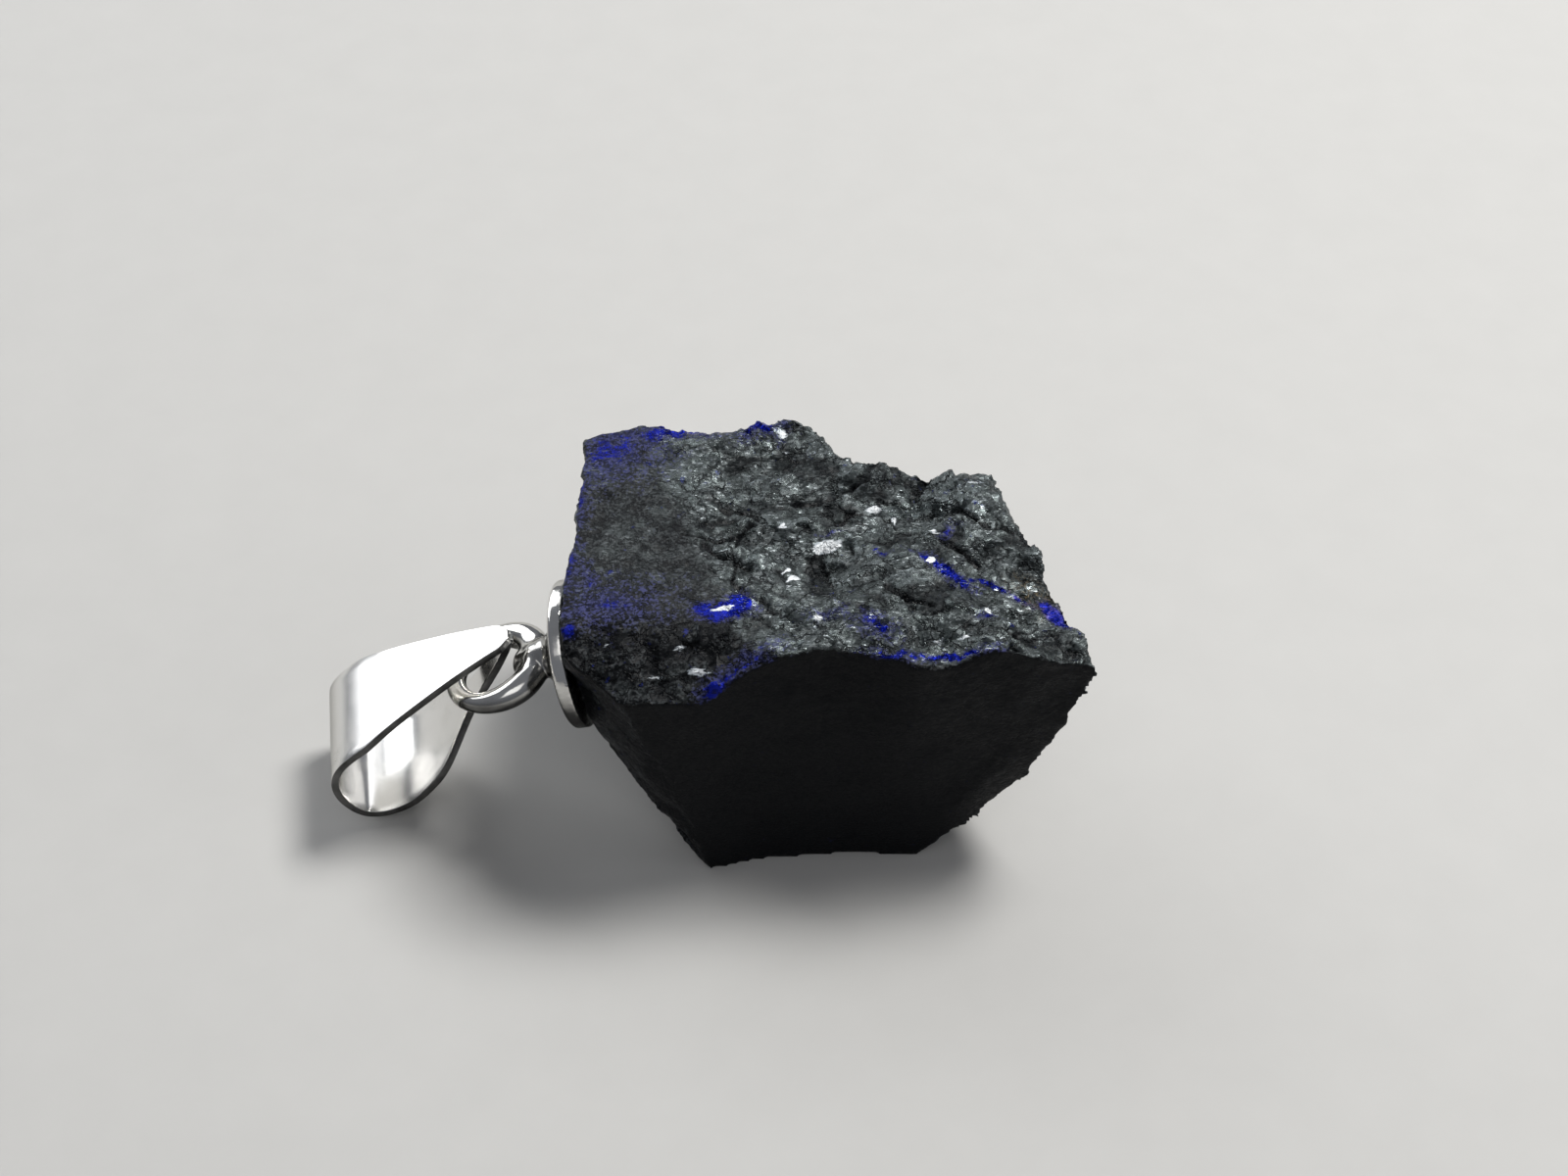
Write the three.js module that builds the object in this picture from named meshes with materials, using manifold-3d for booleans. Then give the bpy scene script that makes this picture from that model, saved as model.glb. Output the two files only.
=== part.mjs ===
// A rough azurite chunk worn as a pendant: the stone, a silver cap glued to its left end, and a
// folded silver bail that hangs in the cap's ring. Millimetres, +Z up. The pendant lies on its
// side: the bail points to -X and the stone's broken front face looks to -Y.
import * as THREE from "three";
import { ImprovedNoise } from "three/addons/math/ImprovedNoise.js";
import { mergeVertices } from "three/addons/utils/BufferGeometryUtils.js";
import Module from "manifold-3d";

const wasm = await Module();
wasm.setup();
const { degToRad, lerp, smoothstep } = THREE.MathUtils;
const point = (x, y, z) => new THREE.Vector3(x, y, z);

// Driving dimensions
const stoneTop = 10.8; // height of the stone's cleaved top
const stoneFront = -4.95; // y of the broken front, half way up
const stoneBack = 8.7;
const stoneTip = 12.2; // x of the right end's point
const tipHeight = 10;
const capSeat = point(-8.1, -0.95, 7.4); // middle of the cap's glued side
const capTilt = degToRad(12); // the cap looks this far below the horizontal
const capTurn = degToRad(1.5); // and this far to the back
const glueFilm = 0.1; // room between the cap and the stone
const capRadius = 3;
const rimHeight = 0.6;
const rimRounding = 0.12;
const neckTop = 2.05; // the neck ends inside the ring's wire
const neckMiddle = 1.4; // the ring is bent down from this height of the neck
const ringDroop = degToRad(8); // and by this much
const ringReach = 3.65; // from the glued side to the ring's centre
const ringRadius = 1.8; // to the middle of the wire
const wireRadius = 0.4;
const neckFlare = 0.45; // how much thicker the wire gets towards the neck
const webSize = point(0.9, 0.75, 0.5); // half sizes of the web that fills the ring's corner
const webMiddle = 1.45; // from the ring's centre
const stripThickness = 0.35; // the bail's sheet
const bailWidth = 5; // across its fold
const bailTurn = degToRad(8); // the fold is turned this far to the front

const stoneMaterial = new THREE.MeshStandardMaterial({
  name: "azurite",
  color: 0x14182c,
  roughness: 0.55,
  metalness: 0,
});
const silverMaterial = new THREE.MeshStandardMaterial({
  name: "silver",
  color: 0xe6e6e2,
  roughness: 0.12,
  metalness: 1,
});

const up = point(0, 0, 1);
const away = point(0, 1, 0);
const capSide = away.clone().applyAxisAngle(up, -capTurn);
const capAxis = point(-Math.cos(capTilt), 0, -Math.sin(capTilt)).applyAxisAngle(up, -capTurn);
const capUp = capSide.clone().cross(capAxis);
const neck = capSeat.clone().addScaledVector(capAxis, neckMiddle);
const ringAxis = capAxis.clone().applyAxisAngle(capSide, -ringDroop);
const ringEnd = neck.clone().addScaledVector(ringAxis, ringReach + ringRadius - neckMiddle);

// A closed geometry as a solid that can be joined and cut, and back again.
function solidOf(geometry) {
  const bare = geometry.clone();
  bare.deleteAttribute("normal");
  bare.deleteAttribute("uv");
  const merged = mergeVertices(bare, 1e-4);
  return new wasm.Manifold(
    new wasm.Mesh({
      numProp: 3,
      vertProperties: merged.attributes.position.array,
      triVerts: new Uint32Array(merged.index.array),
    }),
  );
}

function geometryOf(solid) {
  const { vertProperties, triVerts } = solid.getMesh();
  const geometry = new THREE.BufferGeometry();
  geometry.setAttribute("position", new THREE.BufferAttribute(vertProperties, 3));
  geometry.setIndex(new THREE.BufferAttribute(triVerts, 1));
  geometry.computeVertexNormals();
  return geometry;
}

// Broken-stone relief, all of it from smooth noise. The seed picks a slice of the noise, and
// shells are rounded hollows between sharp ridges.
const perlin = new ImprovedNoise();
const noise = (x, y, scale, seed) => perlin.noise(x / scale, y / scale, seed);
const shells = (x, y, scale, seed) => 1 - 2 * Math.abs(noise(x, y, scale, seed));
const fade = (distance, radius) => 1 - smoothstep(distance, 0, radius);
const beyond = (value, edge) => Math.max(0, value - edge);

function crumple(x, y, scale, seed) {
  return noise(x, y, scale, seed) + 0.45 * noise(x, y, scale / 2.3, seed + 7);
}

function ledges(height, step, slope) {
  const level = Math.floor(height / step);
  return step * (level + smoothstep(height / step - level, 1 - slope, 1));
}

function lump({ middle, radius, rise, stretch = [1, 1] }, x, y) {
  const distance = Math.hypot((x - middle[0]) / stretch[0], (y - middle[1]) / stretch[1]);
  return rise * fade(distance, radius);
}

const knob = { middle: [7.6, 4.2], radius: 2.2, rise: 0.75 };
const dent = { middle: [5.2, 3.4], radius: 2.4, rise: -0.55 };
const backRim = { middle: [0.9, 8.6], radius: 2.8, rise: -0.7 };
const thumbprint = { middle: [-4.6, 1], radius: 2.2, rise: -0.06 };
const frontBay = { middle: [2.1, 11], radius: 3, rise: -0.75, stretch: [1.2, 1.6] };
const frontLobe = { middle: [5.2, 11], radius: 1.9, rise: 0.2, stretch: [1, 1.4] };

// The top is a smooth cleaved plane on the left and stepped ledges on the right, with a crack
// between them. It rolls off at the front left and at the right tip.
function topRelief({ x, y }) {
  const broken = smoothstep(x + 0.35 * y + 1.2 * noise(x, y, 2, 3), -2.6, -0.4);
  const steps = ledges(0.8 * crumple(x + 0.4 * y, 1.3 * y, 4.2, 11.3), 0.28, 0.7);
  const rough = steps + 0.16 * crumple(x, y, 1.2, 5.1) + 0.2 * shells(x, y, 2.6, 8.6) - 0.12;
  const plane = 0.035 * crumple(x, y, 0.9, 2.2) + lump(thumbprint, x, y);
  const crackLine = x + 1.7 + 0.8 * noise(y, 7, 1.6, 1);
  const crack = 0.35 * fade(Math.abs(crackLine), 0.6) * fade(Math.abs(y - 0.6), 3);
  const lumps = lump(knob, x, y) + lump(dent, x, y) + lump(backRim, x, y);
  const frontEdge = 0.62 * beyond(0.5 * noise(x, y, 1.7, 6.2) - y, 3.1);
  const rollOff = frontEdge * (1 - smoothstep(x, -3.6, 0.2)) + 0.2 * beyond(x, 8);
  return plane + broken * rough - crack + lumps - rollOff;
}

// The front is one smooth shell-shaped break whose hollows make the top edge wave.
function frontRelief({ x, z }) {
  const waves = lump(frontBay, x, z) + lump(frontLobe, x, z);
  const leftShoulder = 0.75 * (1 - smoothstep(x, -4, 0));
  const grain = 0.18 * shells(x, z, 5.2, 4.2) + 0.05 * crumple(x, z, 1.4, 9.7);
  return waves + leftShoulder - 0.14 * beyond(x, 5.5) + grain;
}

// The far side has a deep step right of its middle.
function backRelief({ x, z }) {
  const step = 2.9 * smoothstep(x, 1, 2.6) + 1.1 * smoothstep(x, 3, 6.6);
  const grain = 0.35 * shells(x, z, 3.6, 12.4) + 0.22 * crumple(x, z, 1.7, 3.3);
  return grain - step - 0.5 * beyond(-x, 6.4);
}

function sideRelief({ x, y, z }) {
  return 0.3 * shells(y - 0.4 * x, z, 3.1, 7.9) + 0.16 * crumple(y, z + 0.5 * x, 1.3, 1.4) - 0.2;
}

// The left end is flat under the cap, pitted around it and bevelled at its top edge.
function leftRelief(spot) {
  const clear = smoothstep(spot.distanceTo(capSeat), capRadius + 0.3, capRadius + 1.4);
  return clear * (0.14 * crumple(spot.y, spot.z, 1, 6.6) + 0.1 - 0.3 * beyond(spot.z, 9.6));
}

// Every face of the stone: a point on it, the way it looks, the grain of its facets, its relief.
const gluedFace = capSeat.clone().addScaledVector(capAxis, -glueFilm);
const rightEnd = point(stoneTip, -3.5, tipHeight);
const stoneFaces = [
  { at: point(2, 0, stoneTop), looks: up, grain: 0.44, relief: topRelief },
  { at: point(2, stoneFront, 5), looks: point(0, -1, 0.07), grain: 0.7, relief: frontRelief },
  { at: point(0, stoneBack, 8), looks: point(-0.04, 1, -0.12), grain: 0.8, relief: backRelief },
  { at: rightEnd, looks: point(0.84, 0.4, -0.37), grain: 0.8, relief: sideRelief },
  { at: point(9.4, -4.3, 3.5), looks: point(0.68, -0.1, -0.72), grain: 0.9, relief: sideRelief },
  { at: point(-7.4, -3, 4.9), looks: point(-0.78, -0.1, -0.62), grain: 0.9, relief: sideRelief },
  { at: point(-5.2, -5.3, 5), looks: point(-0.66, -0.72, -0.2), grain: 0.8, relief: sideRelief },
  { at: point(4, 6.2, 2.6), looks: point(0.05, 0.74, -0.67), grain: 1, relief: sideRelief },
  { at: gluedFace, looks: capAxis, grain: 0.75, relief: leftRelief },
  { at: point(0, 0, 0), looks: point(0, 0, -1), grain: 22, relief: () => 0 },
];
const blockSpan = 44; // wider and deeper than the stone, so that only the rough side ever shows

// A block whose outer side is one face of the stone.
function faceBlock({ at, looks, grain, relief }) {
  const outward = looks.clone().normalize();
  const level = Math.abs(outward.z) > 0.99;
  const across = level ? point(1, 0, 0) : up.clone().cross(outward).normalize();
  const frame = new THREE.Matrix4().makeBasis(across, outward.clone().cross(across), outward);
  const cells = Math.ceil(blockSpan / grain);
  const block = new THREE.BoxGeometry(blockSpan, blockSpan, blockSpan, cells, cells, 1);
  block.translate(0, 0, -blockSpan / 2).applyMatrix4(frame.setPosition(at));
  const corners = block.attributes.position;
  for (let i = 0; i < corners.count; i++) {
    const corner = point().fromBufferAttribute(corners, i);
    const onFace = corner.clone().sub(at).dot(outward) > -0.001;
    if (onFace) corner.addScaledVector(outward, relief(corner));
    corners.setXYZ(i, corner.x, corner.y, corner.z);
  }
  return solidOf(block);
}

function azuriteStone() {
  return geometryOf(stoneFaces.map(faceBlock).reduce((stone, block) => stone.intersect(block)));
}

// The ring's wire is thin at its far end, where the bail hangs, and thickest at the neck.
function castRing() {
  const ring = new THREE.TorusGeometry(ringRadius, wireRadius, 12, 36);
  const corners = ring.attributes.position;
  for (let i = 0; i < corners.count; i++) {
    const corner = point().fromBufferAttribute(corners, i);
    const outward = point(corner.x, corner.y, 0).normalize();
    const middle = outward.clone().multiplyScalar(ringRadius);
    const thickness = 1 + neckFlare * smoothstep(-outward.y, -0.4, 1);
    corner.sub(middle).multiplyScalar(thickness).add(middle);
    corners.setXYZ(i, corner.x, corner.y, corner.z);
  }
  return bentDown(ring);
}

// A web fills the corner between the ring and the neck.
function castWeb() {
  const web = new THREE.SphereGeometry(1, 20, 12);
  return bentDown(web.scale(webSize.x, webSize.y, webSize.z).translate(0, -webMiddle, 0));
}

function bentDown(geometry) {
  geometry.translate(0, ringReach - neckMiddle, 0).rotateX(-ringDroop);
  return geometry.translate(0, neckMiddle, 0);
}

// The cap's disc, dome and neck are turned round its axis, and the ring grows out of the neck.
function silverCap() {
  const profile = [
    [0, 0],
    [capRadius, 0],
    [capRadius, rimHeight - rimRounding],
    [capRadius - rimRounding, rimHeight],
    [2.3, 0.8],
    [1.5, 1.02],
    [1, 1.2],
    [0.82, 1.4],
    [0.66, 1.75],
    [0.5, neckTop],
    [0, neckTop],
  ].map(([radius, height]) => new THREE.Vector2(radius, height));
  const body = new THREE.LatheGeometry(profile, 36);
  return geometryOf(solidOf(body).add(solidOf(castRing())).add(solidOf(castWeb())));
}

// The bail's strip seen from the front: x and z of its middle line, measured from the ring's
// wire. It runs from the tip along the upper leaf, round the fold and back to the tip.
const bailLine = new THREE.SplineCurve(
  [
    [2.3, 2.2],
    [0.9, 1.64],
    [-0.85, 0.8],
    [-3.2, -0.55],
    [-5.02, -2.1],
    [-5.2, -3.6],
    [-4.2, -4.88],
    [-2.5, -4.72],
    [-1.05, -3.4],
    [0.35, -1.35],
    [1.62, 0.75],
    [2.3, 2.15],
  ].map(([x, z]) => new THREE.Vector2(x, z)),
);
const bailLength = bailLine.getLength();
const foldAt = 0.5; // where the upper leaf's strip meets the lower one's, as a share of the line
const leafSteps = 24;

// The leaves widen from a rounded tip to the fold. The lower one is slim where it passes the ring.
function widthAt(t) {
  const reach = bailLength * Math.min(t, 1 - t);
  const upper = 1 + 0.56 * reach;
  const lower = 0.7 + 0.18 * reach + 2.6 * smoothstep(reach, 3.2, 6.8);
  return Math.min(bailWidth, t < foldAt ? upper : lower);
}

// A flat strip bent along one stretch of the bail's line.
function bentLeaf(from, to) {
  const leaf = new THREE.BoxGeometry(1, 1, stripThickness, leafSteps, 1, 1);
  const corners = leaf.attributes.position;
  for (let i = 0; i < corners.count; i++) {
    const t = lerp(from, to, corners.getX(i) + 0.5);
    const middle = bailLine.getPointAt(t);
    const along = bailLine.getTangentAt(t);
    const lift = corners.getZ(i);
    const side = corners.getY(i) * widthAt(t);
    corners.setXYZ(i, middle.x - along.y * lift, side, middle.y + along.x * lift);
  }
  return solidOf(leaf);
}

function foldedBail() {
  return geometryOf(bentLeaf(0, foldAt).add(bentLeaf(foldAt, 1)));
}

function piece(name, geometry, material) {
  const mesh = new THREE.Mesh(geometry, material);
  mesh.name = name;
  return mesh;
}

const stone = piece("azurite_stone", azuriteStone(), stoneMaterial);
const cap = piece("cap", silverCap(), silverMaterial);
const capFrame = new THREE.Matrix4().makeBasis(capSide, capAxis, capUp);
cap.quaternion.setFromRotationMatrix(capFrame);
cap.position.copy(capSeat);
const bail = piece("bail", foldedBail(), silverMaterial);
bail.position.copy(ringEnd);
bail.rotation.z = bailTurn;

// The part's origin is the middle of its bounding box, on the surface that it lies on.
const pendant = new THREE.Group();
pendant.add(stone, cap, bail);
const box = new THREE.Box3().setFromObject(pendant, true);
pendant.position.set(-(box.min.x + box.max.x) / 2, -(box.min.y + box.max.y) / 2, -box.min.z);

const part = new THREE.Group();
part.add(pendant);

export default part;
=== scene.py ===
import math

import bmesh
import bpy
from mathutils import Matrix, Vector, noise


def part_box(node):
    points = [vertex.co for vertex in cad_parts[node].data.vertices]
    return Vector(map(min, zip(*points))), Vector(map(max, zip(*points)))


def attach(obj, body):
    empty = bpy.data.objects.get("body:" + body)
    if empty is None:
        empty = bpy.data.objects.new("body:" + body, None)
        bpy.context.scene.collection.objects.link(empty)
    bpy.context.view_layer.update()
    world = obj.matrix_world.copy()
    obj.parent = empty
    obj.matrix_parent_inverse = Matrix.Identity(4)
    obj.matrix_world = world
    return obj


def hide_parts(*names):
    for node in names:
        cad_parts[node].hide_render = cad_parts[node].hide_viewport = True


# azurite chunk worn as a pendant, lying on a pale table, metres, same frame as the solids
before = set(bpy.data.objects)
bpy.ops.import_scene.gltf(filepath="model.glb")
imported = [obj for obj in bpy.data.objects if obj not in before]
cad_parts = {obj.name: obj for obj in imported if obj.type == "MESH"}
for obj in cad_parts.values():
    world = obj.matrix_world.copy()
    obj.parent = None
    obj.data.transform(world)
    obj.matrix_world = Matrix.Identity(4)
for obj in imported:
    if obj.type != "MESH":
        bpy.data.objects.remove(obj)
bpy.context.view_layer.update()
mm = 0.001
print("frame loaded", sorted(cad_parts))


def smoothStep(low, high, value):
    t = min(1.0, max(0.0, (value - low) / (high - low)))
    return t * t * (3 - 2 * t)


def newPiece(name, bm, body, node):
    mesh = bpy.data.meshes.new(name)
    bm.to_mesh(mesh)
    bm.free()
    piece = bpy.data.objects.new(name, mesh)
    bpy.context.scene.collection.objects.link(piece)
    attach(piece, body)
    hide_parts(node)
    return piece


def bakeModifiers(piece):
    # the modifiers' result becomes the piece's own mesh
    ready = piece.evaluated_get(bpy.context.evaluated_depsgraph_get())
    mesh = bpy.data.meshes.new_from_object(ready)
    piece.modifiers.clear()
    piece.data = mesh
    return mesh


def shadeSmooth(mesh):
    mesh.polygons.foreach_set("use_smooth", [True] * len(mesh.polygons))
    mesh.update()


class Signal:
    # one socket of a material, so that shader maths reads as Python
    def __init__(self, tree, socket=None):
        self.tree = tree
        self.socket = socket

    def node(self, kind, settings=None, sockets=None, output=0):
        made = self.tree.nodes.new(kind)
        for name, value in (settings or {}).items():
            setattr(made, name, value)
        for name, value in (sockets or {}).items():
            if isinstance(value, Signal):
                self.tree.links.new(value.socket, made.inputs[name])
            else:
                made.inputs[name].default_value = value
        return Signal(self.tree, made.outputs[output])

    def math(self, operation, *values):
        return self.node("ShaderNodeMath", {"operation": operation}, dict(enumerate(values)))

    def __add__(self, other):
        return self.math("ADD", self, other)

    def __sub__(self, other):
        return self.math("SUBTRACT", self, other)

    def __rsub__(self, other):
        return self.math("SUBTRACT", other, self)

    def __mul__(self, other):
        return self.math("MULTIPLY", self, other)

    __radd__ = __add__
    __rmul__ = __mul__

    def size(self):
        return self.math("ABSOLUTE", self)

    def clamp(self):
        return self.node("ShaderNodeClamp", {}, {"Value": self})

    def step(self, low, high):
        settings = {"interpolation_type": "SMOOTHSTEP"}
        return self.node("ShaderNodeMapRange", settings, {"Value": self, 1: low, 2: high})

    def mix(self, low, high):
        # this mask picks between two colours
        return self.node("ShaderNodeMix", {"data_type": "RGBA"}, {0: self, 6: low, 7: high}, 2)

    def scaled(self, size):
        # coordinates in millimetres, stretched along each axis
        return self.vector("MULTIPLY", size)

    def noise(self, scale, detail, rough):
        values = {"Vector": self, "Scale": scale, "Detail": detail, "Roughness": rough}
        return self.node("ShaderNodeTexNoise", {}, values)

    def cells(self, scale, output=0):
        return self.node("ShaderNodeTexVoronoi", {}, {"Vector": self, "Scale": scale}, output)

    def also(self, output):
        # another output of the same node
        return Signal(self.tree, self.socket.node.outputs[output])

    def vector(self, operation, other, output=0):
        settings = {"operation": operation}
        return self.node("ShaderNodeVectorMath", settings, {0: self, 1: other}, output)

    def facets(self, scale):
        # every cell is a small flat face that leans its own way, height in mm
        lean = self.cells(scale, output=1)
        toMiddle = self.vector("SUBTRACT", lean.also(2))
        return toMiddle.vector("DOT_PRODUCT", lean.vector("SUBTRACT", (0.5, 0.5, 0.5)), 1)

    def field(self, name):
        # a number that the mesh carries
        return self.node("ShaderNodeAttribute", {"attribute_name": name}, output=2)

    def bump(self, height, distance, strength=1.0):
        sockets = {"Strength": strength, "Distance": distance, "Height": height}
        return self.node("ShaderNodeBump", {}, sockets)

    def red(self):
        return self.node("ShaderNodeSeparateColor", {}, {0: self})


def rgb(red, green, blue):
    return (red, green, blue, 1.0)


def newMaterial(name):
    # returns the material, its shader, its tree as a signal and millimetre coordinates
    material = bpy.data.materials.new(name)
    material.use_nodes = True
    tree = material.node_tree
    shader = tree.nodes["Principled BSDF"]
    board = Signal(tree)
    place = board.node("ShaderNodeTexCoord", output=3).scaled((1000, 1000, 1000))
    return material, shader, board, place


def plug(board, shader, **links):
    for name, signal in links.items():
        board.tree.links.new(signal.socket, shader.inputs[name.replace("_", " ")])


stoneLook = {
    "voxel": 0.125 * mm,
    "chips": [(1.9, 0.36, 3), (0.9, 0.24, 8), (0.42, 0.08, 5)],  # size and height in mm, seed
    "ledges": (1.5, 0.35, 0.1),  # size of the terraces, their step and their height in mm
    "grit": 0.03,
    "crackDepth": 0.2,
    "crackWidth": 0.16,
    "shells": (0.015, 2.6, (3, -8, 16)),  # height, spacing and middle of the front's ripples
    "calmFront": 0.88,  # how much smoother the flat front and the cleaved plane are
    "calmPlane": 0.68,
    "glueReach": (3.1, 4.2),  # the skin stays on the solid this near the cap, mm
    "seatHeight": 0.5,  # and below this height
    "shadedBandLight": 0.2,  # painted shade: how pale the sloping band in front is kept, against 0.95 elsewhere
    # dark cracks on the top, x and y in mm
    "cracks": [
        [(-0.5, 0.7), (0.6, 0.2), (1.3, 0.5), (1.8, 1.1), (2.3, 1.3)],
        [(1.8, 1.1), (1.5, -0.2), (1.5, -1.9), (2.3, -2.9), (3.1, -3.8)],
        [(0.2, 0.0), (1.2, -0.8), (2.0, -1.2)],
        [(0.4, 2.6), (1.6, 2.2), (2.4, 1.6)],
        [(3.9, 2.6), (5.4, 2.9), (6.8, 3.6)],
        [(5.2, 1.3), (6.2, 1.9), (7.3, 2.4), (8.0, 1.2)],
        [(7.4, -2.2), (8.4, -3.1), (9.2, -3.7)],
        [(9.6, 0.2), (10.4, -0.5), (11.0, -0.9)],
        [(10.4, 1.4), (11.6, 0.9), (12.8, 1.0)],
        [(11.2, -4.6), (12.2, -4.9), (13.2, -4.2), (14.0, -4.4)],
    ],
    # deep blue crystals: middle, radii along and across in mm, turn in degrees, strength
    "bluePatches": [
        ((1.05, -3.55), (1.0, 0.42), 6, 1.0),
        ((1.6, -3.05), (0.42, 0.6), -25, 0.9),
        ((9.75, -1.4), (1.1, 0.3), -42, 1.0),
        ((11.5, -2.05), (0.7, 0.17), -12, 0.85),
        ((12.7, -2.6), (0.5, 0.17), -35, 0.7),
        ((14.1, -3.1), (0.75, 0.3), -50, 0.9),
        ((7.4, -0.5), (0.4, 0.2), -20, 0.6),
        ((7.0, -0.1), (0.15, 0.12), 0, 0.9),
        ((6.8, -4.5), (1.1, 0.5), -35, 0.58),
        ((7.3, -4.8), (0.2, 0.14), 0, 1.0),
        ((5.4, -4.1), (0.9, 0.3), 0, 0.5),
        ((11.3, -4.0), (0.42, 0.36), 0, 0.62),
        ((9.8, -5.9), (1.4, 0.22), 6, 0.8),
        ((7.6, -6.0), (1.2, 0.24), -5, 0.7),
        ((1.8, -6.3), (1.5, 0.5), 25, 0.58),
        ((0.9, -6.9), (0.5, 0.25), 25, 0.8),
        ((-1.1, 6.9), (1.8, 0.7), 10, 0.78),
        ((-3.6, 5.6), (2.5, 1.7), 30, 0.55),
        ((-4.9, 2.6), (0.4, 2.2), 0, 0.55),
        ((2.4, 7.3), (1.1, 0.6), 5, 0.65),
        ((-4.9, -4.6), (0.4, 0.3), 0, 0.8),
        ((-5.0, -0.9), (0.4, 2.2), 0, 0.55),
        ((-3.4, -3.3), (2.3, 1.2), 10, 0.47),
        ((-4.3, -1.9), (0.3, 1.1), 10, 0.52),
        ((9.9, 0.6), (0.6, 0.28), 20, 0.5),
        ((5.3, 0.75), (0.5, 0.15), 10, 0.5),
    ],
    # painted highlights: white glints of cleavage flakes
    "glintFlakes": [
        ((5.15, 0.2), (0.62, 0.22), 12, 1.0),
        ((3.4, 1.15), (0.24, 0.1), -35, 0.9),
        ((3.6, -0.9), (0.18, 0.12), 40, 0.8),
        ((3.85, -1.35), (0.26, 0.2), 20, 0.95),
        ((3.6, -1.85), (0.16, 0.12), -10, 0.8),
        ((7.1, 2.4), (0.36, 0.13), 12, 0.9),
        ((7.9, 1.95), (0.1, 0.24), 30, 0.8),
        ((9.5, 0.75), (0.3, 0.12), -10, 0.8),
        ((9.25, -0.95), (0.17, 0.2), -40, 1.0),
        ((1.1, -3.5), (0.5, 0.12), 12, 0.9),
        ((4.75, -4.2), (0.24, 0.24), -25, 0.7),
        ((4.1, -3.3), (0.2, 0.12), 10, 0.6),
        ((3.4, 7.1), (0.42, 0.4), 0, 0.66),
        ((3.5, 6.2), (0.25, 0.2), 0, 0.6),
        ((-0.6, -5.4), (0.5, 0.12), 15, 0.6),
        ((0.2, -6.15), (0.7, 0.2), 0, 0.62),
        ((-1.5, -6.3), (0.5, 0.15), 0, 0.6),
        ((-3.4, -5.2), (0.3, 0.12), 30, 0.6),
        ((11.4, -3.6), (0.1, 0.3), 20, 0.85),
        ((10.4, -5.1), (0.3, 0.1), 25, 0.8),
        ((9.4, -5.2), (0.4, 0.14), 15, 0.7),
        ((11.2, 2.9), (0.7, 0.15), 5, 0.6),
        ((13.1, -1.0), (0.3, 0.1), -50, 0.6),
        ((6.2, 4.0), (0.3, 0.1), 10, 0.6),
    ],
    "brownPatches": [((13.3, -2.3), (0.9, 0.5), -50, 1)],
    "tones": {
        "body": (0.003, 0.0036, 0.0048),
        # painted sheen: the crust's facets are painted in a dim and a lit grey
        "shadedFacetPaint": (0.024, 0.029, 0.031),
        "sheenFacetPaint": (0.128, 0.15, 0.148),
        "grain": (0.12, 0.134, 0.14),
        "dimBloom": (0.01, 0.012, 0.055),
        "bloom": (0.045, 0.05, 0.16),
        "blueSpeck": (0.004, 0.012, 0.15),
        "deepBlue": (0.0008, 0.0022, 0.045),
        "pureBlue": (0.003, 0.012, 0.34),
        "brown": (0.16, 0.12, 0.06),
        # painted highlight: the bright glint streaks on the crust
        "edge": (0.5, 0.55, 0.57),
        # painted highlight: the glinting cleavage flakes, dim and bright
        "dimGlintFlake": (0.26, 0.31, 0.36),
        "glintFlake": (0.93, 0.96, 0.98),
        "crack": (0.002, 0.0025, 0.0035),
    },
    "specular": 0.07,
    "refraction": 1.73,
}


def spotField(spots, x, y, corners):
    # 1 in the middle of a spot, 0 beyond twice its radii, with straight sides where corners is 1
    best = 0.0
    for (midX, midY), (along, across), turn, strength in spots:
        dx, dy = x - midX, y - midY
        if abs(dx) > 4 or abs(dy) > 4:
            continue
        c, s = math.cos(math.radians(turn)), math.sin(math.radians(turn))
        u, v = abs(dx * c + dy * s) / along, abs(dy * c - dx * s) / across
        reach = corners * max(u, v, 0.75 * (u + v)) + (1 - corners) * math.hypot(u, v)
        best = max(best, strength * max(0.0, 1 - reach / 2))
    return best


def crackField(x, y):
    # distance in mm to the nearest crack on the top
    best = 9.0
    for line in stoneLook["cracks"]:
        for (ax, ay), (bx, by) in zip(line, line[1:]):
            ux, uy = bx - ax, by - ay
            t = ((x - ax) * ux + (y - ay) * uy) / (ux * ux + uy * uy)
            t = min(1.0, max(0.0, t))
            best = min(best, math.hypot(x - ax - t * ux, y - ay - t * uy))
    return best


def chipHeight(spot, size, seed):
    # broken facets: each cell of the stone is a small plane with a tilt of its own
    scaled = spot / size + Vector((seed, 0, 0))
    middle = noise.voronoi(scaled, distance_metric="DISTANCE")[1][0]
    tilt = noise.cell_vector(middle * 7.3) - Vector((0.5, 0.5, 0.5))
    return (scaled - middle).dot(tilt) + 0.35 * noise.noise(middle * 3.1)


def ledgeHeight(spot, size, step):
    # small terraces, like the layers of a cleaved crystal
    height = noise.fractal(spot / size, 0.9, 2.1, 3) / step
    level = math.floor(height)
    return step * (level + smoothStep(0.62, 1.0, height - level))


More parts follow.
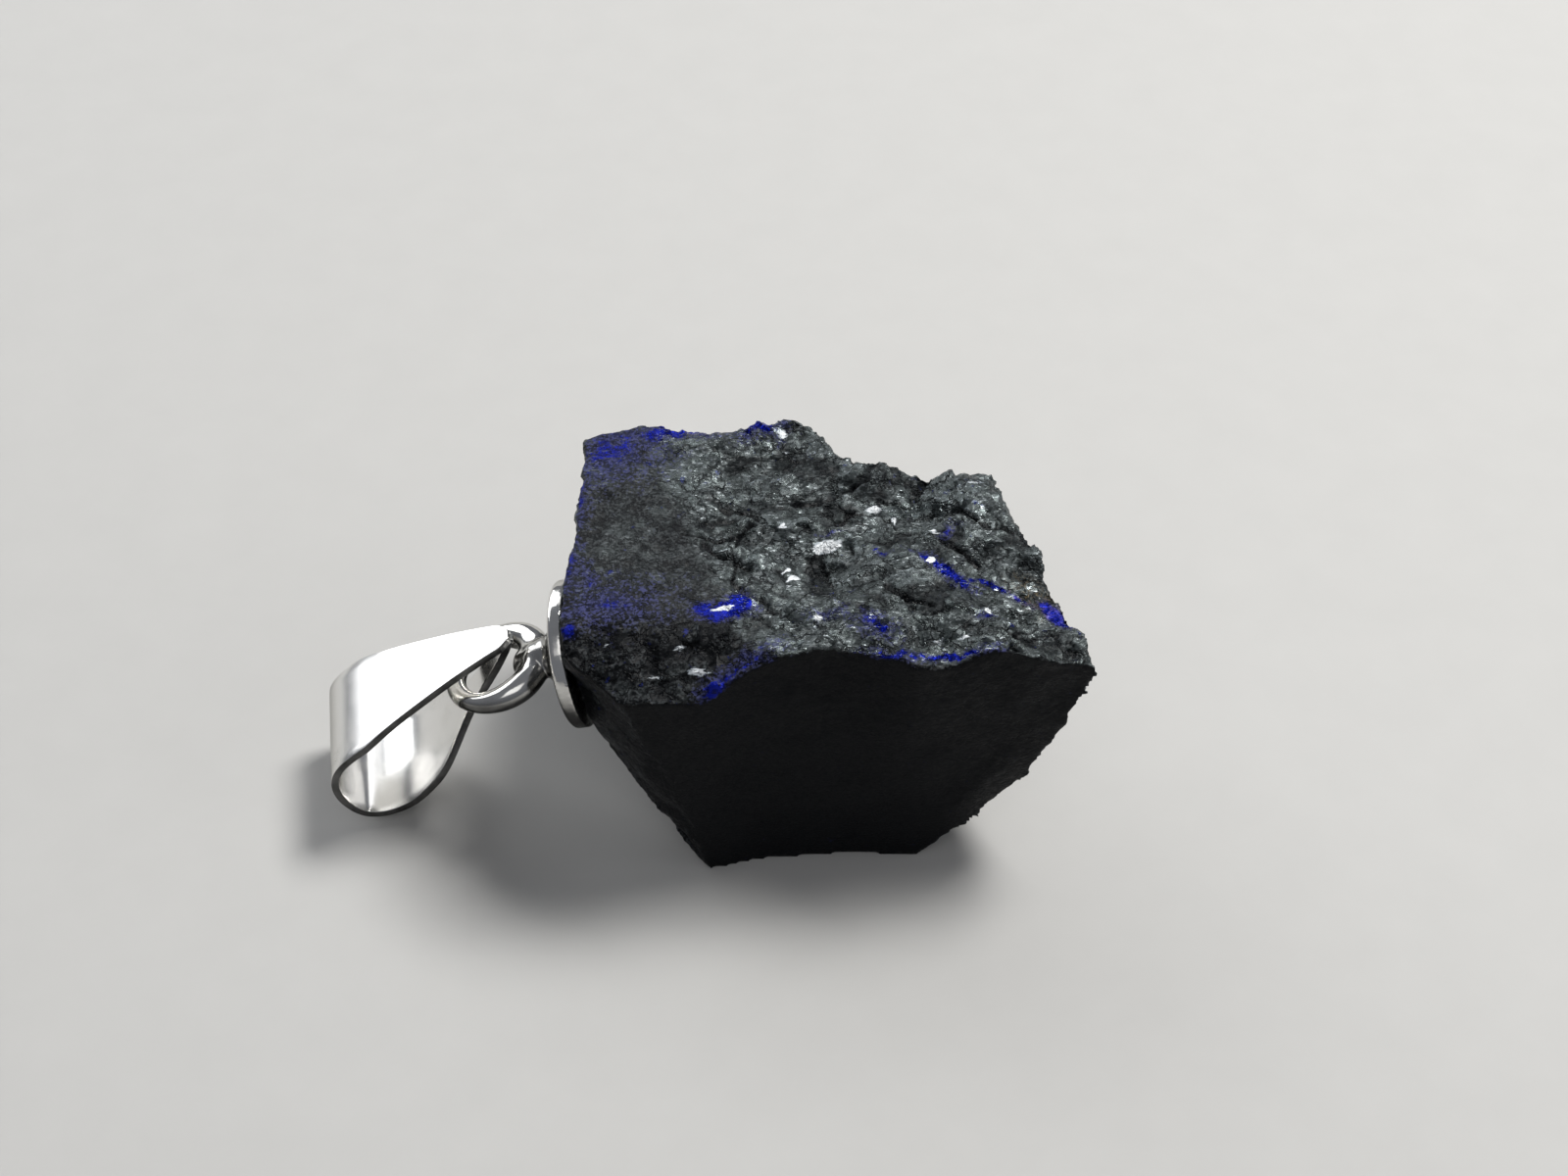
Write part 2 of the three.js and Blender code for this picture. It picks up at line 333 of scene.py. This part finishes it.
def stoneHeight(spot, normal, glueRoom):
    # how far the skin moves out at this spot, and how broken it is there
    top = smoothStep(0.3, 0.75, normal.z)
    front = smoothStep(0.45, 0.8, -normal.y)
    under = smoothStep(0.5, 0.9, -normal.z)
    elsewhere = spot * 1.3 + Vector((9, 0, 0))
    jitter = 0.35 * Vector((noise.noise(spot * 1.3), noise.noise(elsewhere), 0))
    plane = 1 - smoothStep(-0.6, 1.4, spot.x + 0.35 * spot.y + 1.5 * jitter.x)
    plane *= smoothStep(-4.7, -3.7, spot.y)
    broken = 1 - stoneLook["calmFront"] * front
    broken *= (1 - stoneLook["calmPlane"] * plane * top) * (1 - under)
    chips = sum(lift * chipHeight(spot, size, seed) for size, lift, seed in stoneLook["chips"])
    size, step, lift = stoneLook["ledges"]
    rough = chips + lift * ledgeHeight(spot + jitter, size, step)
    grit = stoneLook["grit"] * noise.fractal(spot * 3.2, 0.7, 2.2, 4)
    height = broken * rough + grit * (0.35 + 0.65 * broken)
    crack = 0.0
    if top > 0.05:
        away = crackField(spot.x + jitter.x, spot.y + jitter.y)
        crack = 1 - smoothStep(0, stoneLook["crackWidth"] * (1 + 2 * abs(jitter.y)), away)
        height -= top * stoneLook["crackDepth"] * crack
    lift, spacing, middle = stoneLook["shells"]
    away = (spot - Vector(middle)).length
    height += front * lift * math.sin(spacing * away + 1.5 * jitter.x)
    # how high the skin sits here; the material paints shade into the low spots from this
    high = 0.5 + 3 * broken * (rough - 0.02) - 0.5 * crack
    return height * glueRoom, broken, crack, high


def modelStone():
    bm = bmesh.new()
    bm.from_mesh(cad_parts["azurite_stone"].data)
    bmesh.ops.remove_doubles(bm, verts=bm.verts, dist=1e-6)
    piece = newPiece("stone", bm, "pendant", "azurite_stone")
    remesh = piece.modifiers.new("skin", "REMESH")
    remesh.mode = "VOXEL"
    remesh.voxel_size = stoneLook["voxel"]
    mesh = bakeModifiers(piece)

    low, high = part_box("cap")
    capFace = Vector((high.x, (low.y + high.y) / 2, (low.z + high.z) / 2)) / mm
    moved = []
    names = ("broken", "crack", "high", "light", "blue", "glintWhite", "brown")
    fields = {name: [] for name in names}
    for vertex in mesh.vertices:
        spot, normal = vertex.co / mm, vertex.normal
        glueRoom = smoothStep(*stoneLook["glueReach"], (spot - capFace).length)
        height, broken, crack, raised = stoneHeight(spot, normal, glueRoom)
        seat = smoothStep(0.0, stoneLook["seatHeight"], spot.z)
        moved.extend(vertex.co + normal * height * seat * mm)

        # what the stone's material reads
        # painted shade: the sloping band in front is painted darker, down to 0.2 of the crust's
        # paleness
        shadedBand = 1 - smoothStep(-4.4, -3.4, spot.y + 2.2 * smoothStep(0.5, 3.5, spot.x))
        light = 0.95 + (stoneLook["shadedBandLight"] - 0.95) * shadedBand
        facing = smoothStep(0.12, 0.5, normal.z)
        warp = 0.3 * noise.noise(spot * 1.7) + 0.16 * noise.noise(spot * 5.1)
        blue = spotField(stoneLook["bluePatches"], spot.x + warp, spot.y - warp, 0)
        warp = 0.12 * noise.noise(spot * 4.3)
        # painted highlight: where the flakes' glints are painted white
        glintWhite = spotField(stoneLook["glintFlakes"], spot.x + warp, spot.y + warp, 1)
        brown = spotField(stoneLook["brownPatches"], spot.x, spot.y, 0)
        values = (broken, crack, raised, light, facing * blue, facing * glintWhite, facing * brown)
        for name, value in zip(names, values):
            fields[name].append(value)
    mesh.vertices.foreach_set("co", moved)
    for name, values in fields.items():
        mesh.attributes.new(name, "FLOAT", "POINT").data.foreach_set("value", values)
    shadeSmooth(mesh)
    print("stone skin", len(mesh.polygons), "faces")
    return piece


def azuriteMaterial():
    material, shader, board, place = newMaterial("azurite")
    tones = {name: rgb(*colour) for name, colour in stoneLook["tones"].items()}
    broken, blue, glintFlake = board.field("broken"), board.field("blue"), board.field("glintWhite")
    wide = place.noise(0.4, 4, 0.6)
    middle = place.noise(1.4, 5, 0.65)
    fine = place.noise(8.0, 4, 0.72)
    flat = place.scaled((0.75, 1.0, 1.3))
    grain = place.cells(11.0, output=1).red()
    speck = flat.cells(5.0, output=1).red()
    facet = flat.cells(1.5, output=1).red() * 0.6 + speck * 0.4
    lines = place.scaled((1.5, 9, 9)).noise(1.5, 3, 0.7)

    # nearly black body with a grey crust on the broken skin, partly its own colour and partly
    # painted sheen; its facets are painted lit or dim, painted shade darkens its low spots, and
    # dark veins run through it
    # the light field carries the painted shade of the sloping front band
    crust = broken * board.field("light") + (wide - 0.5) * 0.6 + (middle - 0.5) * 0.6
    crust = crust.step(0.16, 0.8)
    salt = (grain * 0.6 + fine * 0.5).step(0.5, 0.76)
    veins = (place.noise(0.75, 4, 0.6) - 0.5).size().step(0.004, 0.03)
    # painted shade: low spots of the skin, read from its height, are painted darker; the veins
    # are dark lines of the stone
    raised = 0.12 + 0.88 * board.field("high").clamp().step(0.0, 0.5)
    recessShadeAndVeins = raised * (0.25 + 0.75 * veins)
    rind = broken.step(0.15, 0.35)
    # painted sheen and shade: each facet cell of the crust is painted lit or dim
    facetSheenPaint = facet.mix(tones["shadedFacetPaint"], tones["sheenFacetPaint"])
    body = (crust * recessShadeAndVeins).mix(tones["body"], facetSheenPaint)
    body = (rind * salt * (0.3 + 0.35 * crust) * recessShadeAndVeins).mix(body, tones["grain"])

    # violet bloom round the blue places, blue specks all over and the blue crystals
    haze = (blue * 2.0 + (middle - 0.5) * 1.2 + (grain - 0.5) * 0.6).step(0.35, 1.0)
    body = (haze * 0.8).mix(body, salt.mix(tones["dimBloom"], tones["bloom"]))
    specks = place.noise(2.1, 4, 0.65).step(0.62, 0.68) * wide.step(0.48, 0.6)
    specks = specks * speck.step(0.3, 0.5)
    body = (specks * rind * 0.8).mix(body, tones["blueSpeck"])
    crystal = (blue + (fine - 0.5) * 0.3 + (middle - 0.5) * 0.4).step(0.44, 0.5)
    pure = (grain * 0.3 + fine * 0.5 + blue * 0.55).step(0.5, 0.95)
    body = crystal.mix(body, pure.mix(tones["deepBlue"], tones["pureBlue"]))

    # brown stain, painted glint streaks, painted glints on the cleavage flakes, and cracks
    brown = board.field("brown") * middle.step(0.4, 0.55) * salt * 0.9
    body = brown.mix(body, tones["brown"])
    # painted highlight: short bright streaks painted along the crust's lines
    edges = lines.step(0.57, 0.64) * crust * recessShadeAndVeins * speck.step(0.25, 0.6)
    body = (edges * 0.8).mix(body, tones["edge"])
    # painted highlight: white glints painted on the cleavage flakes, brighter where they shine
    glintWhite = (glintFlake + (lines - 0.5) * 0.5 + (fine - 0.5) * 0.2).step(0.44, 0.52)
    shine = glintFlake.step(0.38, 0.62) * lines.step(0.25, 0.5)
    body = glintWhite.mix(body, shine.mix(tones["dimGlintFlake"], tones["glintFlake"]))
    body = (board.field("crack") * 0.9).mix(body, tones["crack"])

    # the broken facets have a glassy sheen of their own
    sheen = (0.15 + 0.85 * facet) * crust * recessShadeAndVeins * (1 - glintWhite) + 0.2 * crystal + 0.2 * edges
    rough = 0.34 + 0.25 * (grain - 0.5) + 0.12 * (1 - crust)
    relief = flat.facets(1.5) * 0.75 * broken + flat.facets(5.0) * (0.1 + 0.5 * broken)
    relief = relief + (fine - 0.5) * 0.025 + (place.noise(22.0, 3, 0.7) - 0.5) * 0.008
    bump = board.bump(relief + veins * broken * 0.06, mm)
    plug(board, shader, Base_Color=body, Roughness=rough.clamp(), Normal=bump)
    plug(board, shader, Metallic=sheen.clamp())
    shader.inputs["Specular IOR Level"].default_value = stoneLook["specular"]
    shader.inputs["IOR"].default_value = stoneLook["refraction"]
    return material


stone = modelStone()
stone.data.materials.append(azuriteMaterial())
print("stone ready")


def silverMaterial(name, look):
    material, shader, board, place = newMaterial(name)
    dull = board.field("dull")
    lines = place.scaled((1, 14, 5)).noise(1.4, 3, 0.6)
    spots = place.noise(0.9, 4, 0.6)
    wear = spots.step(0.45, 0.75)
    tone = (wear * 0.3).mix(rgb(*look["tone"]), rgb(*look["wornTone"]))
    # painted dark reflection: the undersides and cut edges are painted near black
    paintedDarkening = (dull * (0.92 + 0.3 * (spots - 0.5))).clamp()
    tone = paintedDarkening.mix(tone, rgb(0.02, 0.02, 0.02))
    rough = look["roughness"] + 0.08 * wear + 0.06 * lines + 0.12 * dull
    bump = board.bump(lines * 0.3 + spots * 0.7, 0.02 * mm, 0.12)
    plug(board, shader, Base_Color=tone, Roughness=rough, Normal=bump)
    shader.inputs["Metallic"].default_value = 1.0
    shader.inputs["Specular Tint"].default_value = rgb(0.55, 0.55, 0.54)
    return material


capLook = {
    "seat": Vector((-4.645, -2.657, 7.4)),  # middle of the glued side
    "tilt": 12,
    "turn": 1.5,
    "profile": [
        (0, 0), (2.96, 0), (3, 0.05), (3, 0.5), (2.93, 0.58), (2.6, 0.66), (2.1, 0.82),
        (1.5, 1.0), (1.08, 1.18), (0.86, 1.4), (0.78, 1.7), (0.7, 1.95),
        (0.6, 2.2), (0.4, 2.4), (0, 2.45),
    ],  # radius and height, mm
    "ringReach": 3.65,
    "ringRadius": 1.8,
    "neckMiddle": 1.4,  # the ring is bent down from this height of the neck
    "droop": 8,
    "wire": 0.41,
    "web": (0.9, 0.76, 0.52),  # half sizes of the web that fills the ring's corner at the neck
    "webMiddle": 1.45,  # from the ring's centre
    "flare": 0.48,  # how much thicker the wire gets towards the neck
    "voxel": 0.06 * mm,
    "softening": 3,  # smoothing passes everywhere
    "fork": (0, 2.6, -0.15),  # where the ring leaves the neck
    "forkReach": 1.3,
    "forkSoftening": 34,
    "root": (0, 1.1, 0),  # the corner round this place is painted darker
    "tone": (0.9, 0.89, 0.86),
    "wornTone": (0.5, 0.49, 0.45),
    "roughness": 0.1,
}


def fullSpin(bm, geom, axis):
    bmesh.ops.spin(
        bm, geom=geom, cent=(0, 0, 0), axis=axis, angle=math.tau, steps=72, use_merge=True
    )


def smoothVerts(bm, verts, times):
    for _ in range(times):
        bmesh.ops.smooth_vert(
            bm, verts=verts, factor=0.5, use_axis_x=True, use_axis_y=True, use_axis_z=True
        )


def modelCap():
    # turned disc, dome and neck
    bm = bmesh.new()
    turned = [bm.verts.new((radius, height, 0)) for radius, height in capLook["profile"]]
    edges = [bm.edges.new(pair) for pair in zip(turned, turned[1:])]
    fullSpin(bm, turned + edges, (0, 1, 0))
    bmesh.ops.remove_doubles(bm, verts=bm.verts, dist=1e-4)
    bodyVerts = set(bm.verts)

    # ring that grows out of the neck
    wire = bmesh.ops.create_circle(bm, segments=20, radius=capLook["wire"])["verts"]
    bmesh.ops.rotate(bm, verts=wire, matrix=Matrix.Rotation(math.pi / 2, 3, "X"))
    bmesh.ops.translate(bm, verts=wire, vec=(capLook["ringRadius"], 0, 0))
    rim = list({edge for vertex in wire for edge in vertex.link_edges})
    fullSpin(bm, wire + rim, (0, 0, 1))
    ring = [vertex for vertex in bm.verts if vertex not in bodyVerts]
    for vertex in ring:
        outward = Vector((vertex.co.x, vertex.co.y, 0)).normalized()
        middle = outward * capLook["ringRadius"]
        thicker = 1 + capLook["flare"] * smoothStep(-0.6, 0.9, -outward.y)
        vertex.co = middle + (vertex.co - middle) * thicker
    web = bmesh.ops.create_uvsphere(bm, u_segments=32, v_segments=16, radius=1)["verts"]
    bmesh.ops.scale(bm, verts=web, vec=capLook["web"])
    bmesh.ops.translate(bm, verts=web, vec=(0, -capLook["webMiddle"], 0))
    ring += web
    neck = capLook["neckMiddle"]
    bend = Matrix.Rotation(math.radians(-capLook["droop"]), 4, "X")
    onNeck = Matrix.Translation((0, neck, 0)) @ bend
    onNeck = onNeck @ Matrix.Translation((0, capLook["ringReach"] - neck, 0))
    bmesh.ops.transform(bm, verts=ring, matrix=onNeck)
    bmesh.ops.recalc_face_normals(bm, faces=bm.faces)

    # its axis points out of the stone, and the ring lies in the plane of the axis and +Y
    about = Matrix.Rotation(math.radians(-capLook["turn"]), 4, "Z")
    tip = Matrix.Rotation(math.radians(-capLook["tilt"]), 4, "Y")
    stand = Matrix(((0, -1, 0, 0), (1, 0, 0, 0), (0, 0, 1, 0), (0, 0, 0, 1)))
    place = Matrix.Translation(capLook["seat"] * mm) @ about @ tip @ stand @ Matrix.Scale(mm, 4)
    bm.transform(place)

    piece = newPiece("silverCap", bm, "pendant", "cap")
    remesh = piece.modifiers.new("cast", "REMESH")
    remesh.mode = "VOXEL"
    remesh.voxel_size = capLook["voxel"]
    mesh = bakeModifiers(piece)

    # a casting has soft corners, most of all where the ring leaves the neck
    bm = bmesh.new()
    bm.from_mesh(mesh)
    fork = place @ Vector(capLook["fork"])
    corner = [v for v in bm.verts if (v.co - fork).length < capLook["forkReach"] * mm]
    smoothVerts(bm, bm.verts, capLook["softening"])
    smoothVerts(bm, corner, capLook["forkSoftening"])
    bm.normal_update()
    # painted dark reflection on the undersides, most of all the ring's, and darker in the corner
    # round the neck
    root = place @ Vector(capLook["root"])
    ringMiddle = place @ Vector((0, capLook["ringReach"], 0))
    dull = []
    for vertex in bm.verts:
        onRing = 1 - smoothStep(2.1, 2.6, (vertex.co - ringMiddle).length / mm)
        nearRoot = 1 - smoothStep(0.8, 1.5, (vertex.co - root).length / mm)
        under = smoothStep(-0.55 - 0.3 * onRing, 0.15 - 0.45 * onRing, -vertex.normal.z)
        dull.append(max(0.97 * under, 0.5 * nearRoot))
    bm.to_mesh(mesh)
    bm.free()
    mesh.attributes.new("dull", "FLOAT", "POINT").data.foreach_set("value", dull)
    shadeSmooth(mesh)
    print("cap", len(mesh.polygons), "faces")
    return piece


cap = modelCap()
cap.data.materials.append(silverMaterial("castSilver", capLook))

bailLook = {
    "hook": Vector((-9.818, -2.522, 5.724)),  # middle of the ring's wire
    "turn": 8,
    "line": [
        (2.3, 2.2), (0.9, 1.64), (-0.85, 0.8), (-3.2, -0.55), (-5.02, -2.1), (-5.2, -3.6),
        (-4.2, -4.88), (-2.5, -4.72), (-1.05, -3.4), (0.35, -1.35), (1.62, 0.75), (2.3, 2.15),
    ],  # x and z from the hook, tip to tip round the fold
    "strip": 0.32,
    "edge": 0.07,
    "width": 5.0,
    "upperLeaf": (1.05, 0.57),  # width at the tip and how fast it grows
    "lowerLeaf": (0.7, 0.18),
    "swelling": (2.6, 3.2, 6.8),  # the lower leaf gets wider by this much, from here to there
    "steps": 160,
    "tone": (0.93, 0.92, 0.9),
    "wornTone": (0.75, 0.74, 0.7),
    "roughness": 0.17,
}


def alongLine(points, count):
    # evenly spaced spots and directions on the smooth line through the points
    dense = []
    last = len(points) - 1
    for i in range(last):
        before, here = Vector(points[max(i - 1, 0)]), Vector(points[i])
        there, after = Vector(points[i + 1]), Vector(points[min(i + 2, last)])
        pull, push = (there - before) * 0.5, (after - here) * 0.5
        for k in range(40):
            t = k / 40
            bend = here + pull * t + (3 * (there - here) - 2 * pull - push) * t**2
            dense.append(bend + (2 * (here - there) + pull + push) * t**3)
    dense.append(Vector(points[-1]))
    lengths = [0.0]
    for a, b in zip(dense, dense[1:]):
        lengths.append(lengths[-1] + (b - a).length)
    spots, i = [], 0
    for k in range(count + 1):
        goal = lengths[-1] * k / count
        while i < len(dense) - 2 and lengths[i + 1] < goal:
            i += 1
        share = (goal - lengths[i]) / (lengths[i + 1] - lengths[i])
        spots.append((dense[i].lerp(dense[i + 1], share), (dense[i + 1] - dense[i]).normalized()))
    return spots, lengths[-1]


def bailWidth(t, length):
    reach = length * min(t, 1 - t)
    if t < 0.5:
        width, growth = bailLook["upperLeaf"]
        width += growth * reach
    else:
        width, growth = bailLook["lowerLeaf"]
        swelling, near, far = bailLook["swelling"]
        width += growth * reach + swelling * smoothStep(near, far, reach)
    return smoothStep(-0.5, 0.5, reach) * min(bailLook["width"], width)


def modelBail():
    steps = bailLook["steps"]
    spots, length = alongLine(bailLook["line"], steps)
    bm = bmesh.new()
    bmesh.ops.create_grid(bm, x_segments=steps, y_segments=12, size=0.5)
    for vertex in bm.verts:
        # the flat strip is bent round the line
        t = vertex.co.x + 0.5
        middle, _ = spots[round(t * steps)]
        side = vertex.co.y * bailWidth(t, length)
        vertex.co = Vector((middle.x, side, middle.y))
    place = (
        Matrix.Translation(bailLook["hook"] * mm)
        @ Matrix.Rotation(math.radians(bailLook["turn"]), 4, "Z")
        @ Matrix.Scale(mm, 4)
    )
    bm.transform(place)
    piece = newPiece("silverBail", bm, "bail", "bail")
    sheet = piece.modifiers.new("sheet", "SOLIDIFY")
    sheet.thickness = bailLook["strip"] * mm
    sheet.offset = 0
    edge = piece.modifiers.new("edge", "BEVEL")
    edge.width = bailLook["edge"] * mm
    edge.segments = 3
    edge.limit_method = "ANGLE"
    edge.angle_limit = math.radians(50)
    mesh = bakeModifiers(piece)
    across = Matrix.Rotation(math.radians(bailLook["turn"]), 3, "Z") @ Vector((0, 1, 0))
    # painted dark reflection: the strip's cut edges are painted dark
    dull = [smoothStep(0.5, 0.9, abs(face.normal.dot(across))) for face in mesh.polygons]
    mesh.attributes.new("dull", "FLOAT", "FACE").data.foreach_set("value", dull)
    shadeSmooth(mesh)
    print("bail", len(mesh.polygons), "faces")
    return piece


bail = modelBail()
bail.data.materials.append(silverMaterial("sheetSilver", bailLook))
print("silver ready")

studio = {
    "floor": 1.6,
    "floorTone": (0.5, 0.495, 0.48),
    "worldTone": (0.86, 0.9, 1.0),
    "world": 0.16,
    # place, size, watts and colour of each soft light
    "lights": {
        "topSoft": ((0.15, 0.13, 0.32), (0.13, 0.13), 1.45, (1.0, 0.99, 0.97)),
        "backPanel": ((-0.22, 0.25, 0.17), (0.3, 0.24), 0.55, (0.96, 0.98, 1.0)),
        "backStrip": ((0.02, 0.3, 0.29), (0.26, 0.1), 0.1, (1.0, 1.0, 1.0)),
        "frontPanel": ((-0.03, -0.25, 0.36), (0.32, 0.2), 0.17, (1.0, 0.99, 0.98)),
        "rightPanel": ((0.3, -0.02, 0.14), (0.2, 0.14), 0.12, (1.0, 1.0, 1.0)),
    },
    "aim": (0.003, -0.002, 0.008),
    "camera": (0.003455, -0.07242, 0.08081),
    "cameraTilt": 45,
    "lens": 58.05,
    "sensor": 36,
}


def newLight(name, spot, size, power, tone):
    lamp = bpy.data.lights.new(name, "AREA")
    lamp.shape = "RECTANGLE"
    lamp.size, lamp.size_y = size
    lamp.energy = power
    lamp.color = tone
    light = bpy.data.objects.new(name, lamp)
    bpy.context.scene.collection.objects.link(light)
    light.location = spot
    looking = Vector(studio["aim"]) - Vector(spot)
    light.rotation_euler = looking.to_track_quat("-Z", "Y").to_euler()


def setFloor():
    bm = bmesh.new()
    bmesh.ops.create_grid(bm, x_segments=1, y_segments=1, size=studio["floor"] / 2)
    mesh = bpy.data.meshes.new("floor")
    bm.to_mesh(mesh)
    bm.free()
    floor = bpy.data.objects.new("floor", mesh)
    bpy.context.scene.collection.objects.link(floor)
    material, shader, board, place = newMaterial("paleTable")
    speckle = place.noise(0.35, 5, 0.6)
    low, high = (Vector(studio["floorTone"]) * k for k in (0.96, 1.03))
    plug(board, shader, Base_Color=speckle.mix(rgb(*low), rgb(*high)))
    shader.inputs["Roughness"].default_value = 0.7
    mesh.materials.append(material)


setFloor()
world = bpy.data.worlds.new("room")
bpy.context.scene.world = world
world.use_nodes = True
sky = world.node_tree.nodes["Background"]
sky.inputs["Color"].default_value = (*studio["worldTone"], 1)
sky.inputs["Strength"].default_value = studio["world"]
for name, (spot, size, power, tone) in studio["lights"].items():
    newLight(name, spot, size, power, tone)
bpy.context.scene.view_settings.view_transform = "Standard"

camera = bpy.data.objects.new("camera", bpy.data.cameras.new("camera"))
bpy.context.scene.collection.objects.link(camera)
camera.location = studio["camera"]
camera.rotation_euler = (math.radians(studio["cameraTilt"]), 0, 0)
camera.data.lens = studio["lens"]
camera.data.sensor_width = studio["sensor"]
camera.data.clip_start = 0.005
bpy.context.scene.camera = camera

print("scene ready")
